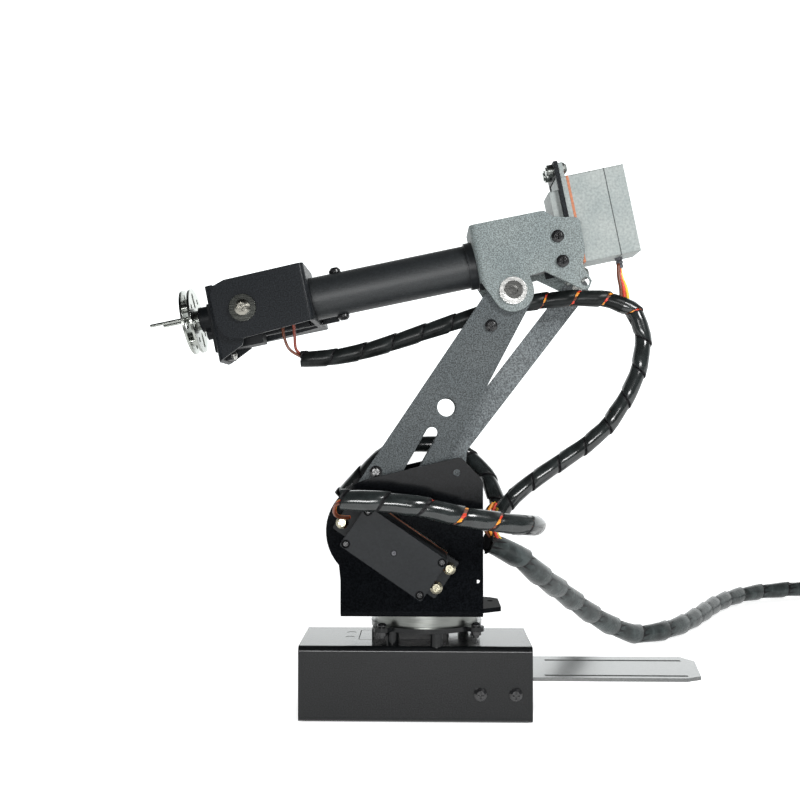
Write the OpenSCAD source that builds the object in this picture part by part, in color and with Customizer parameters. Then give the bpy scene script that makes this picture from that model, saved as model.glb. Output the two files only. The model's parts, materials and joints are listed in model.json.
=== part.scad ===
// Desktop robot arm: a servo-driven parallelogram arm on a turning base.
// Millimetres. +Z is up, the floor is Z = 0 and the turning axis is X = Y = 0.

/* [Base] */
// length of the base box along X
base_length = 103; // [80:1:140]
// depth of the base box along Y
base_depth = 44; // [40:1:80]
// height of the base box
base_height = 33.2; // [30:0.2:45]
// sheet thickness of the base and the board plate
base_sheet = 1.6; // [1:0.1:3]
// length of the board plate beyond the base
board_reach = 79; // [40:1:110]
// height of the top face of the board plate
board_top = 19.8; // [10:0.2:28]

/* [Turntable] */
// turn of the arm about the vertical axis at rest, degrees
turntable_yaw = 0; // [-45:1:45]
// outside diameter of the turntable bearing
bearing_od = 47; // [40:1:62]
// bore of the turntable bearing
bearing_bore = 35; // [25:1:45]
// width of the turntable bearing
bearing_width = 7; // [5:0.5:12]
// distance between the outer faces of the two side plates
side_outer = 56; // [50:1:70]
// sheet thickness of the arm's plates
plate = 2; // [1.5:0.1:3]

/* [Arm] */
// shoulder axis, X
shoulder_x = -21.8; // [-30:0.1:0]
// shoulder axis, Z
shoulder_z = 84.2; // [75:0.1:95]
// elbow axis, X
elbow_x = 39.0; // [20:0.1:50]
// elbow axis, Z
elbow_z = 190.9; // [160:0.1:210]
// push rod pin behind the elbow, X offset
rod_dx = 32.4; // [25:0.1:40]
// push rod pin behind the elbow, Z offset
rod_dz = 4.1; // [0:0.1:10]
// tilt of the forearm tube, degrees
forearm_tilt = 11.6; // [0:0.1:30]
// outside diameter of the forearm tube
tube_od = 20; // [16:0.5:25]

/* [Servos] */
// length of a servo body
servo_l = 40.5; // [38:0.1:42]
// width of a servo body
servo_w = 20; // [18:0.1:21]
// from the bottom of a servo to the top of its flange
servo_h = 29.3; // [26:0.1:32]
// from the output axis to the near end of the body
servo_out = 10; // [8:0.1:12]

/* [Cables] */
// diameter of the main cable bundle
main_cable_d = 11.5; // [8:0.1:14]
// diameter of the forearm cable bundle
forearm_cable_d = 8; // [6:0.1:10]
// diameter of the near servo's cable bundle
near_cable_d = 9; // [6:0.1:10]
// diameter of the far servo's cable bundle
far_cable_d = 8.4; // [5:0.1:9]

/* [Hidden] */
$fn = 48;
yo = side_outer / 2;
base_x = -5;
base_y = -3;
deck_z = 46.6;
link_out = 13.8;
link_far_out = 13.5;
brk_out = 16.2;
flange_t = 2.5;
case_top = 7.7;
cover_low = 1.6;
boss_top = 9.5;
horn_top = 14.2;
lid_h = 9;
dark = [0.10, 0.11, 0.12];
steel = [0.75, 0.75, 0.72];
brass = [0.72, 0.66, 0.50];
servo_dark = [0.16, 0.17, 0.18];
t_x = elbow_x + rod_dx;
t_z = elbow_z + rod_dz;
c_x = shoulder_x + rod_dx;
c_z = shoulder_z + rod_dz;
es = [elbow_x - shoulder_x, elbow_z - shoulder_z];
es_a = atan2(es[1], es[0]);
es_l = norm(es);

// ---- frames and small helpers ----
module arm() { rotate([0, 0, turntable_yaw]) children(); }
module tube_frame() { arm() translate([0, 0, 200]) rotate([0, -forearm_tilt, 0]) children(); }
module slab(y0, t) {
    translate([0, y0 + t, 0]) rotate([90, 0, 0]) linear_extrude(t) children();
}
module ycyl(x, z, y0, y1, r) {
    translate([x, y0, z]) rotate([-90, 0, 0]) cylinder(r = r, h = y1 - y0);
}
module zcyl(x, y, z0, z1, r) {
    translate([x, y, z0]) cylinder(r = r, h = z1 - z0);
}
module xcyl(x0, x1, y, z, r) {
    translate([x0, y, z]) rotate([0, 90, 0]) cylinder(r = r, h = x1 - x0);
}
module box(a, b) { translate(a) cube([b[0] - a[0], b[1] - a[1], b[2] - a[2]]); }
module rbox(a, b, r) {
    translate([a[0], a[1], a[2]]) linear_extrude(b[2] - a[2])
        rrect(b[0] - a[0], b[1] - a[1], r);
}
module rrect(w, h, r) {
    translate([r, 0]) square([w - 2 * r, h]);
    translate([0, r]) square([w, h - 2 * r]);
    for (i = [r, w - r]) {
        for (j = [r, h - r]) translate([i, j]) circle(r, $fn = 24);
    }
}
// pan head screw whose head sits on Z = 0 and whose shank goes down
module pan(r, h, shank_r, shank_l) {
    difference() {
        union() {
            cylinder(r = r, h = h * 0.5, $fn = 24);
            translate([0, 0, h * 0.5]) cylinder(r1 = r, r2 = r * 0.62, h = h * 0.5, $fn = 24);
        }
        translate([-r * 0.55, -0.3, h * 0.55]) cube([r * 1.1, 0.6, h]);
        translate([-0.3, -r * 0.55, h * 0.55]) cube([0.6, r * 1.1, h]);
    }
    translate([0, 0, -shank_l]) cylinder(r = shank_r, h = shank_l, $fn = 20);
}
// screw along +Y whose head faces -Y at y
module pan_near(x, z, y, r, h, sr, sl) {
    translate([x, y, z]) rotate([90, 0, 0]) pan(r, h, sr, sl);
}
module pan_far(x, z, y, r, h, sr, sl) {
    translate([x, y, z]) rotate([-90, 0, 0]) pan(r, h, sr, sl);
}

// servo details: flange holes before and behind the axis, lid screws in from the edges
ear_front = 4.5;
ear_back = 45;
ear_y = 5;
lid_in = 1.9;
lid_y = 8.1;

// ---- servo, output axis on +Z, flange top at Z = 0, body towards -X ----
module servo_case() {
    difference() {
        union() {
            rbox([servo_out - servo_l, -servo_w / 2, lid_h - servo_h],
                 [servo_out, servo_w / 2, cover_low], 0.8);
            rbox([-24.8, -servo_w / 2, 0], [servo_out, servo_w / 2, case_top - 1.5], 0.8);
            rbox([servo_out - servo_l - 6.75, -servo_w / 2 + 0.5, -flange_t],
                 [servo_out + 6.75, servo_w / 2 - 0.5, 0], 0.8);
            zcyl(0, 0, 0, case_top, 9.6);
            rbox([-14, -6, 0], [0, 6, case_top], 2);
            zcyl(0, 0, 0, boss_top, 6.2);
        }
        zcyl(0, 0, 2.5, boss_top + 1, 3.05);
        for (x = [servo_out + ear_front, servo_out - ear_back]) {
            for (y = [-ear_y, ear_y]) zcyl(x, y, -flange_t - 1, 1, 2.2);
        }
        for (x = [servo_out - lid_in, servo_out - servo_l + lid_in]) {
            for (y = [-lid_y, lid_y]) zcyl(x, y, lid_h - servo_h - 1, lid_h - servo_h + 8, 0.9);
        }
    }
}
module servo_lid() {
    b = -servo_h;
    difference() {
        rbox([servo_out - servo_l, -servo_w / 2, b], [servo_out, servo_w / 2, lid_h - servo_h], 0.8);
        for (x = [servo_out - lid_in, servo_out - servo_l + lid_in]) {
            for (y = [-lid_y, lid_y]) {
                zcyl(x, y, b - 1, b + 1.4, 1.75);
                zcyl(x, y, b - 1, lid_h - servo_h + 1, 0.9);
            }
        }
        zcyl(servo_out - servo_l / 2, 0, b - 1, b + 0.5, 1.1);
    }
}
module servo_lid_screws() {
    for (x = [servo_out - lid_in, servo_out - servo_l + lid_in]) {
        for (y = [-lid_y, lid_y]) {
            translate([x, y, -servo_h + 1.4]) rotate([180, 0, 0])
                pan(1.6, 1.2, 0.85, 14);
        }
    }
}
// mounting screws: heads on the body side of the flange, through the plate to a nut
module servo_flange_screws(plate_t) {
    for (x = [servo_out + ear_front, servo_out - ear_back]) {
        for (y = [-ear_y, ear_y]) {
            translate([x, y, -flange_t]) rotate([180, 0, 0])
                pan(2.75, 2.2, 1.95, flange_t + plate_t + 3);
            zcyl(x, y, plate_t, plate_t + 2.4, 2.9);
        }
    }
}
// the same screws threaded into the plate, ending flush with it
module servo_tapped_screws(plate_t) {
    for (x = [servo_out + ear_front, servo_out - ear_back]) {
        for (y = [-ear_y, ear_y]) {
            translate([x, y, -flange_t]) rotate([180, 0, 0])
                pan(2.75, 2.2, 1.95, flange_t + plate_t - 0.1);
        }
    }
}
module servo_slots(t) {
    rbox([servo_out - servo_l - 0.4, -servo_w / 2 - 0.4, -1],
         [servo_out + 0.4, servo_w / 2 + 0.4, t + 1], 1);
    for (x = [servo_out + ear_front, servo_out - ear_back]) {
        for (y = [-ear_y, ear_y]) zcyl(x, y, -1, t + 1, 2.05);
    }
}
// output shaft with a round metal horn whose face is at top
module servo_horn(r, top = horn_top) {
    difference() {
        union() {
            zcyl(0, 0, 2.7, top - 1.5, 3);
            zcyl(0, 0, boss_top + 0.5, top, 4.6);
            zcyl(0, 0, top - 2, top, r);
        }
        zcyl(0, 0, top - 4, top + 1, 1.3);
        for (i = [0:3]) rotate([0, 0, 45 + 90 * i]) zcyl(r - 3, 0, top - 3, top + 1, 1.1);
    }
}
// ---- micro servo for the tool, in the same frame ----
micro_h = 18.4;
micro_top = 4.3;
micro_boss = 9;
module micro_case() {
    difference() {
        union() {
            rbox([-16.9, -6.1, -micro_h], [5.9, 6.1, micro_top], 0.6);
            rbox([-21.65, -5.9, -flange_t], [10.65, 5.9, 0], 0.6);
            zcyl(0, 0, 0, micro_boss, 5.8);
            zcyl(-7, 0, 0, micro_top + 3, 3);
        }
        zcyl(0, 0, 2, micro_boss + 1, 2.35);
        for (x = [8.3, -19.3]) zcyl(x, 0, -flange_t - 1, 1, 1.1);
    }
}
module micro_flange_screws(plate_t) {
    for (x = [8.3, -19.3]) {
        translate([x, 0, -flange_t]) rotate([180, 0, 0]) pan(2.2, 1.6, 1.05, flange_t + plate_t + 2);
        zcyl(x, 0, plate_t, plate_t + 1.8, 2.1);
    }
}
// places of the six servos
module at_base_servo() {
    translate([0, 0, base_height - base_sheet]) children();
}
module at_shoulder_servo() {
    arm() translate([shoulder_x, -yo, shoulder_z]) rotate([-90, 0, 0])
        rotate([0, 0, servo_lean]) rotate([0, 0, 180]) children();
}
module at_elbow_servo() {
    arm() translate([shoulder_x, yo, shoulder_z]) rotate([90, 0, 0])
        rotate([0, 0, -servo_lean]) rotate([0, 0, 180]) children();
}
module at_roll_servo() {
    tube_frame() translate([roll_u, 0, 0]) rotate([0, -90, 0]) rotate([0, 0, 180]) children();
}
module at_pitch_servo() {
    tube_frame() translate([wrist_u, fork_out, 0]) rotate([90, 0, 0]) rotate([0, 0, 180]) children();
}
module at_tool_servo() {
    tube_frame() translate([tool_u, 0, tool_rise]) rotate([0, -90, 0]) children();
}
servo_lean = 34.5;
wrist_u = -84;
fork_out = 20;
tool_u = -98.3;
tool_rise = 1.2;
roll_u = 68.3;
tube_end = roll_u - horn_top;

// ---- cable sweep: rings along a route, round section ----
function unit(v) = v / norm(v);
function dir_at(p, i) =
    i == 0 ? unit(p[1] - p[0])
    : i == len(p) - 1 ? unit(p[i] - p[i - 1])
    : unit(unit(p[i + 1] - p[i]) + unit(p[i] - p[i - 1]));
function up_of(d) = abs(d[1]) < 0.9 ? [0, 1, 0] : [0, 0, 1];
function move_ref(r, d) = unit(r - d * (r * d));
function refs(p, i) =
    i == 0 ? move_ref(up_of(dir_at(p, 0)), dir_at(p, 0))
    : move_ref(refs(p, i - 1), dir_at(p, i));
function ring(c, d, r, rad, n) =
    let (s = cross(d, r)) [for (k = [0:n - 1]) c + rad * (cos(360 * k / n) * r + sin(360 * k / n) * s)];
function cr(a, b, c, d, t) =
    0.5 * ((2 * b) + (c - a) * t + (2 * a - 5 * b + 4 * c - d) * t * t + (3 * b - a - 3 * c + d) * t * t * t);
function at(p, i) = p[max(0, min(len(p) - 1, i))];
function smooth(p, m) = concat(
    [for (i = [0:len(p) - 2]) for (j = [0:m - 1])
        cr(at(p, i - 1), at(p, i), at(p, i + 1), at(p, i + 2), j / m)],
    [p[len(p) - 1]]);
module sweep(p, rad, n) {
    m = len(p);
    pts = [for (i = [0:m - 1]) each ring(p[i], dir_at(p, i), refs(p, i), rad, n)];
    sides = [for (i = [0:m - 2]) for (k = [0:n - 1])
        [i * n + k, i * n + (k + 1) % n, (i + 1) * n + (k + 1) % n, (i + 1) * n + k]];
    tris = [for (q = sides) each [[q[0], q[1], q[2]], [q[0], q[2], q[3]]]];
    cap0 = [[for (k = [0:n - 1]) n - 1 - k]];
    cap1 = [[for (k = [0:n - 1]) (m - 1) * n + k]];
    polyhedron(points = pts, faces = [for (f = concat(tris, cap0, cap1)) [for (k = [len(f) - 1:-1:0]) f[k]]]);
}
forearm_route = [
    [-58, -2, 161], [-45, -2, 161.6], [-26, -2, 165.4], [-3, -2, 172.8], [20, -2, 180.3],
    [38, -2, 185.4], [57.6, -2, 188.4], [76, -2, 189.2], [91, -2, 187], [99.4, -2, 178.4],
    [99.9, -2, 165.4], [95.7, -2, 149], [87.8, -1, 136.5], [80.8, 0, 126.3], [66.9, 2, 116.5],
    [52.9, 4, 106.7], [42, 6, 99], [35.5, 7, 90.5]];
near_route = [
    [-34.5, -62.4, 100.6], [-24.5, -62.4, 100.2], [-13.8, -61.8, 99.5], [-3.1, -60.2, 97.9], [6.5, -57.4, 95.4],
    [15, -54, 93], [25, -50, 91.1], [35.2, -45, 89.2], [43.9, -38, 87.8], [48, -29, 87], [46, -18, 86],
    [40, -9, 85]];
far_route = [
    [-43, 38, 94], [-34, 38, 103.5], [-22, 38, 115], [-8, 38, 120.6], [6, 37.6, 120.8], [18, 36.4, 117],
    [28, 33, 108.5], [33, 26, 98], [35.5, 18, 88]];
main_route = [
    [33.5, 4, 78], [42, 10, 71], [54, 30, 58], [70, 60, 44], [92, 95, 25], [113, 120, 11],
    [127, 132, 6.2], [150, 152, 5.9], [175, 190, 5.9], [204, 241, 5.9], [238, 280, 5.9], [283, 300, 5.9],
    [330, 305, 5.9], [375, 300, 5.9]];
cable_end = main_route[len(main_route) - 1];

// ---- base ----
base_front = base_y - base_depth / 2;
base_screw_x = [23.6, 39];
base_screw_z = 12.8;
post_r = 23.2;
post_head_r = 1.85;
fold_out = 2.4;
fold_in = 0.4;
module on_base() { translate([base_x, base_y, 0]) children(); }
module base_shell() {
    end = base_length / 2 - base_sheet;
    side = base_depth / 2 - base_sheet;
    color(dark) difference() {
        on_base() {
            difference() {
                rbox2(base_length, base_depth, 0, base_height, fold_out);
                rbox2(base_length + 6, base_depth - 2 * base_sheet, -3, base_height - base_sheet, fold_in);
            }
            box([-end - base_sheet, -side, 0.2], [-end, side, base_height - 1]);
            box([end, -side, 0.2], [end + base_sheet, side, board_top - base_sheet - 0.3]);
            box([end, -side, board_top + 0.3], [end + base_sheet, side, base_height - 1]);
        }
        translate([0, 0, base_height - base_sheet]) servo_slots(base_sheet);
        for (a = posts) rotate([0, 0, a]) zcyl(post_r, 0, base_height - 4, base_height + 2, 1.6);
        for (x = base_screw_x) ycyl(x, base_screw_z, base_front - 1, base_front + 4, 1.6);
    }
}
// box rounded along X: the folded front, top and back of the base
module rbox2(l, d, z0, z1, r) {
    translate([-l / 2, 0, 0]) rotate([90, 0, 90]) linear_extrude(l)
        translate([-d / 2, z0]) rrect(d, z1 - z0, r);
}
module base_floor() {
    l = base_length - 2 * base_sheet - 0.4;
    d = base_depth - 2 * base_sheet - 0.4;
    color(dark) on_base() difference() {
        box([-l / 2, -d / 2, 0], [l / 2, d / 2, base_sheet]);
        for (x = [-44, 44]) for (y = [-17, 17]) zcyl(x, y, -1, 5, 1.6);
    }
}
module board_plate() {
    x0 = 14;
    x1 = base_x + base_length / 2 + board_reach;
    y0 = base_front + base_sheet + 0.3;
    y1 = base_y + base_depth / 2 - base_sheet - 0.3;
    color(dark) difference() {
        union() {
            translate([0, 0, board_top - base_sheet]) linear_extrude(base_sheet)
                polygon([[x0, y0], [x1 - 11.5, y0], [x1 - 4.5, y0 + 3.6],
                         [x1, y0 + 32], [x1 - 5, y1], [x0, y1]]);
            box([x0, y0, 7], [44.5, y0 + base_sheet, board_top - 0.5]);
        }
        box([52.3, -20.3, board_top - 4], [115.3, -17.9, board_top + 2]);
        box([55.6, 8.1, board_top - 4], [119.1, 10.5, board_top + 2]);
        for (x = base_screw_x) ycyl(x, base_screw_z, base_front - 1, base_front + 5, 1.45);
    }
}
module base_screws() {
    color(dark) for (x = base_screw_x) {
        pan_near(x, base_screw_z, base_front, 2.9, 2, 1.4, 5);
        ycyl(x, base_screw_z, base_front + 3.7, base_front + 5.8, 2.7);
    }
}
module base_servo_case() { color(servo_dark) at_base_servo() servo_case(); }
module base_servo_lid() { color(servo_dark) at_base_servo() servo_lid(); }
module base_servo_screws() {
    color(steel) at_base_servo() {
        servo_lid_screws();
        servo_tapped_screws(base_sheet);
    }
}
posts = [41, 139, 229, 281];
ears = [38, 142, 225, 322];
ring_z = 38.9;
ring_top = 40.9;
brg_z = 39.5;
ear_r = 28;
ear_w = 3.6;
ball_ring_r = bearing_bore / 2 + (bearing_od - bearing_bore) / 4;
race_t = 2.4;
module bearing_outer_race() {
    color(steel) rotate_extrude($fn = 96) difference() {
        translate([bearing_od / 2 - race_t, brg_z]) square([race_t, bearing_width]);
        translate([ball_ring_r, brg_z + bearing_width / 2]) circle(2.05);
    }
}
module bearing_inner_race() {
    color(steel) rotate_extrude($fn = 96) difference() {
        translate([bearing_bore / 2, brg_z + 0.1]) square([race_t, bearing_width]);
        translate([ball_ring_r, brg_z + bearing_width / 2]) circle(2.05);
    }
}
module bearing_balls() {
    color(steel) {
        for (i = [0:11]) rotate([0, 0, 30 * i])
            translate([ball_ring_r, 0, brg_z + bearing_width / 2]) sphere(2, $fn = 20);
    }
}
module bearing_seat_ring() {
    ro = bearing_od / 2 + 2;
    color(dark) difference() {
        union() {
            zcyl(0, 0, ring_z, ring_top, ro);
            for (a = ears) rotate([0, 0, a]) box([ro - 1.5, -ear_w, ring_z], [ear_r, ear_w, ring_top]);
            for (a = ears) rotate([0, 0, a]) zcyl(ear_r, 0, ring_z, ring_top, ear_w);
        }
        zcyl(0, 0, ring_z - 1, ring_top + 1, bearing_bore / 2 + 3);
        zcyl(0, 0, brg_z, ring_top + 1, bearing_od / 2 + 0.05);
        for (a = ears) rotate([0, 0, a]) zcyl(ear_r, 0, ring_z - 1, ring_top + 1, 1.35);
    }
}
module bearing_standoffs() {
    color(dark) for (a = posts) rotate([0, 0, a]) difference() {
        zcyl(post_r, 0, base_height, ring_z, 2.6);
        zcyl(post_r, 0, base_height - 1, ring_z + 1, 1.3);
    }
}
module bearing_clamp_screws() {
    color(dark) {
        for (a = ears) rotate([0, 0, a]) {
            translate([ear_r, 0, ring_top]) pan(2.1, 1.6, 1.3, 5);
            zcyl(ear_r, 0, ring_z - 1.8, ring_z, 2.3);
        }
        for (a = posts) rotate([0, 0, a]) {
            zcyl(post_r, 0, base_height - base_sheet - 2, ring_z - 0.05, 1.25);
            zcyl(post_r, 0, base_height - base_sheet - 2, base_height - base_sheet, post_head_r);
        }
    }
}

// ---- turntable ----
hub_pitch_r = 13.5;
hub_t = 2.2;
module side_outline() {
    xr = 24.7;
    polygon([
        [-37.6, deck_z], [-37.6, 62.7], each arc_pts(), [-35.6, 103.2], [-26, 106.9],
        [14, 116.4], [15.6, 116], [23.5, 107.6], [xr, 105.5], [xr, deck_z]]);
}
// rounded corner around the shoulder
corner_r = 22.2;
function arc_pts() = [for (i = [0:12]) let (a = 222 - 7.5 * i)
    [shoulder_x + corner_r * cos(a), shoulder_z + corner_r * sin(a)]];
module turntable_bracket() {
    color(dark) arm() difference() {
        union() {
            intersection() {
                slab(-yo, 2 * yo) side_outline();
                translate([-60, 0, 0]) rotate([90, 0, 90]) linear_extrude(120) channel_yz();
            }
            translate([0, 0, deck_z]) linear_extrude(plate) polygon([
                [24, -18], [33.6, -12], [33.6, 9.5], [30, 13], [24, 15], [-37, 15], [-37, -18]]);
        }
        at_sh_local(-1) servo_slots(plate);
        at_sh_local(1) servo_slots(plate);
        ycyl(13.3, 109.7, -yo - 1, yo + 1, 1.6);
        ycyl(22.4, 62.3, -yo - 1, yo + 1, 0.9);
        zcyl(29.6, 3, deck_z - 1, deck_z + 4, 1.4);
        for (a = [0:3]) rotate([0, 0, 90 * a]) zcyl(hub_pitch_r, 0, deck_z - 1, deck_z + 4, 1.6);
        zcyl(0, 0, deck_z - 1, deck_z + 4, 4);
    }
}
// cross section of the folded channel: bottom at deck_z, sides at +-yo
module channel_yz() {
    difference() {
        translate([-yo, deck_z]) rrect(2 * yo, 90, 2.6);
        translate([-yo + plate, deck_z + plate]) rrect(2 * yo - 2 * plate, 90, 0.8);
    }
}
module at_sh_local(s) {
    translate([shoulder_x, s * yo, shoulder_z]) rotate([-s * -90, 0, 0])
        rotate([0, 0, -s * servo_lean]) rotate([0, 0, 180]) children();
}
module bearing_hub() {
    color(steel) difference() {
        zcyl(0, 0, deck_z - hub_t, deck_z, bearing_bore / 2 - 0.02);
        zcyl(0, 0, deck_z - 4, deck_z + 1, 2.2);
        for (a = [0:3]) rotate([0, 0, turntable_yaw + 90 * a])
            zcyl(hub_pitch_r, 0, deck_z - 4, deck_z + 1, 1.45);
        for (i = [0:3]) rotate([0, 0, 45 + 90 * i]) zcyl(7, 0, deck_z - 4, deck_z + 1, 1.1);
    }
}
module base_servo_horn() {
    color(steel) at_base_servo() servo_horn(10, deck_z - hub_t - base_height + base_sheet);
}
module turntable_screws() {
    color(dark) arm() {
        for (a = [0:3]) rotate([0, 0, 90 * a])
            translate([hub_pitch_r, 0, deck_z + plate]) pan(2.6, 1.8, 1.4, 4);
        translate([0, 0, deck_z + plate]) pan(5.2, 1.6, 1.2, 6);
    }
}
module shoulder_servo_case() { color(servo_dark) at_shoulder_servo() servo_case(); }
module shoulder_servo_lid() { color(servo_dark) at_shoulder_servo() servo_lid(); }
module shoulder_servo_screws() {
    color(brass) at_shoulder_servo() {
        servo_lid_screws();
        servo_flange_screws(plate);
    }
}
module elbow_servo_case() { color(servo_dark) at_elbow_servo() servo_case(); }
module elbow_servo_lid() { color(servo_dark) at_elbow_servo() servo_lid(); }
module elbow_servo_screws() {
    color(brass) at_elbow_servo() {
        servo_lid_screws();
        servo_flange_screws(plate);
    }
}
module near_cable() { color(dark) arm() sweep(smooth(near_route, 2), near_cable_d / 2, 10); }
module far_cable() { color(dark) arm() sweep(smooth(far_route, 2), far_cable_d / 2, 10); }
// ---- lower arm ----
spacer_at = [[-1, 25.2], [51.1, 91.2]];
slot_from = 24;
slot_l = 25;
slot_w = 5.5;
module link_outline() {
    difference() {
        union() {
            translate(es) circle(9.7);
            polygon([
                es + 9.7 * [cos(150), sin(150)], [-17.4, 8], [-17, -2], [-11, -12],
                [0, -15.2], [12, -11.5], [17.5, 2], [24, 16], es + 9.7 * [cos(-28), sin(-28)]]);
            circle(15);
        }
        translate(es) circle(3.2);
        rotate(es_a) translate([es_l * 0.51, 0]) circle(4.25);
        rotate(es_a) translate([slot_from, -slot_w / 2]) square([slot_l, slot_w]);
        rotate(es_a) translate([slot_from + slot_l, 0]) circle(slot_w / 2);
        for (p = spacer_at) translate(p) circle(1.6);
    }
}
module link_near() {
    color(dark) arm() difference() {
        translate([shoulder_x, 0, shoulder_z]) slab(-link_out, plate) link_outline();
        ycyl(shoulder_x, shoulder_z, -link_out - 1, -link_out + 3, 1.6);
        for (i = [0:3]) horn_hole(i, -link_out);
    }
}
module horn_hole(i, y) {
    a = 45 + 90 * i + servo_lean;
    ycyl(shoulder_x + 7 * cos(a), shoulder_z + 7 * sin(a), y - 1, y + 3, 1.15);
}
module link_far() {
    color(dark) arm() difference() {
        translate([shoulder_x, 0, shoulder_z]) slab(link_far_out - plate, plate) link_outline();
        ycyl(shoulder_x, shoulder_z, link_far_out - plate - 1, link_far_out + 1, 8);
    }
}
module link_spacers() {
    color(dark) arm() {
        for (p = spacer_at) {
            difference() {
                ycyl(shoulder_x + p[0], shoulder_z + p[1], -link_out + plate, link_far_out - plate, 2.9);
                ycyl(shoulder_x + p[0], shoulder_z + p[1], -link_out, link_out, 1.5);
            }
        }
    }
}
module link_screws() {
    color(dark) arm() {
        for (p = spacer_at) {
            pan_near(shoulder_x + p[0], shoulder_z + p[1], -link_out, 2.8, 1.8, 1.45, 8);
            pan_far(shoulder_x + p[0], shoulder_z + p[1], link_far_out, 2.8, 1.8, 1.45, 8);
        }
    }
}
module shoulder_servo_horn() { color(steel) at_shoulder_servo() servo_horn(10); }
module shoulder_bearing() {
    color(steel) arm() difference() {
        ycyl(shoulder_x, shoulder_z, link_far_out - plate - 1.6, link_far_out, 8);
        ycyl(shoulder_x, shoulder_z, link_far_out - plate - 3, link_far_out + 1, 5.05);
    }
}

// ---- crank and rod ----
crank_y = 7;
rod_y = 9.7;
rod_t = 1.6;
module elbow_crank() {
    color(dark) arm() difference() {
        union() {
            ycyl(shoulder_x, shoulder_z, crank_y, yo - horn_top, 5);
            slab(crank_y, plate) difference() {
                union() {
                    translate([shoulder_x, shoulder_z]) circle(8);
                    translate([c_x, c_z]) circle(5.5);
                    polygon([[shoulder_x + 1, shoulder_z + 8], [shoulder_x - 1, shoulder_z - 8],
                             [c_x + 0.8, c_z - 5.4], [c_x - 0.8, c_z + 5.4]]);
                }
                translate([c_x, c_z]) circle(2);
            }
        }
        ycyl(shoulder_x, shoulder_z, crank_y - 1, crank_y + 2, 2.8);
        ycyl(shoulder_x, shoulder_z, crank_y - 1, yo, 1.3);
    }
}
module elbow_horn() { at_elbow_servo() servo_horn(7.6); }
module crank_pin() {
    color(steel) {
        arm() {
            ycyl(c_x, c_z, crank_y - 1.4, crank_y, 3.2);
            ycyl(c_x, c_z, crank_y - 0.5, rod_y + rod_t + 0.6, 2);
            ycyl(c_x, c_z, crank_y + plate, rod_y - 0.1, 3.2);
            ycyl(c_x, c_z, rod_y + rod_t + 0.1, rod_y + rod_t + 1.2, 2.6);
        }
        elbow_horn();
    }
}
module push_rod() {
    color(dark) arm() slab(rod_y, rod_t) difference() {
        union() {
            translate([t_x, t_z]) circle(5.5);
            translate([c_x, c_z]) circle(5.5);
            polygon([[t_x - 4.3, t_z + 3.4], [8.2, 122], [c_x - 5.4, c_z + 1], [c_x + 5.4, c_z - 1],
                     [19.4, 118.4], [t_x + 4.3, t_z - 3.4]]);
        }
        translate([t_x, t_z]) circle(2.05);
        translate([c_x, c_z]) circle(2.05);
    }
}

// ---- forearm bracket ----
// front web of the bracket, cut short below so that the links can swing past it
web_u = 22.9;
web_low = -9.6;
bracket_holes = [[59, 215.3], [61.2, 204.1]];
module bracket_outline() {
    difference() {
        union() {
            polygon([
                [19, 220.4], [24.6, 195.2], [31, 186], [39, 181.6], [48.3, 190.9], [46.5, 197.6],
                [53.2, 199.7], [70.7, 191.2], [73.1, 192], [74.3, 195.2], [71.5, 200.1], [69.4, 203.3], [70.7, 204.9],
                [71.2, 209.7], [69, 222.2], [67.4, 223.8], [57.2, 224.2], [53, 226.8], [51.4, 226.8]]);
            translate([elbow_x, elbow_z]) circle(9.4);
        }
        translate([elbow_x, elbow_z]) circle(3.3);
        for (p = bracket_holes) translate(p) circle(1.6);
        translate([t_x, t_z]) circle(2.05);
    }
}
module elbow_bracket() {
    color(dark) intersection() {
        arm() slab(-brk_out, 2 * brk_out) bracket_outline();
        tube_frame() difference() {
            translate([0, 0, -40]) linear_extrude(80) channel_xy(web_u, 60, brk_out, 2.8);
            xcyl(20, 27, 0, 0, 12);
            box([web_u - 1, plate - brk_out, -30], [web_u + plate + 0.5, brk_out - plate, web_low]);
        }
    }
}
// cross section of a channel open towards +X, back wall at x0
module channel_xy(x0, l, half, r) {
    difference() {
        translate([x0, -half]) rrect(l, 2 * half, r);
        translate([x0 + plate, -half + plate]) rrect(l, 2 * half - 2 * plate, r - plate);
    }
}
module servo_wall() {
    inner = brk_out - plate;
    color(dark) difference() {
        tube_frame() difference() {
            union() {
                box([66.3, -9.4, -16.5], [roll_u, 9.4, 37.5]);
                box([66.3, -12.5, 8], [roll_u, 12.5, 37.5]);
                box([66.3, -inner, -11.5], [roll_u, inner, 9]);
                for (s = [-1, 1]) box([56, s * (inner - 0.8) - 0.8, -11.5], [67, s * (inner - 0.8) + 0.8, 9]);
            }
            box([60, -10.2, -10.3], [70, 10.2, 30.8]);
            for (z = [-14.5, 35]) for (y = [-ear_y, ear_y]) xcyl(60, 70, y, z, 2.05);
        }
        arm() for (p = bracket_holes) ycyl(p[0], p[1], -brk_out, brk_out, 1.6);
    }
}
module elbow_bolts() {
    color(steel) arm() {
        elbow_bolt();
        mirror([0, 1, 0]) elbow_bolt();
    }
}
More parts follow.
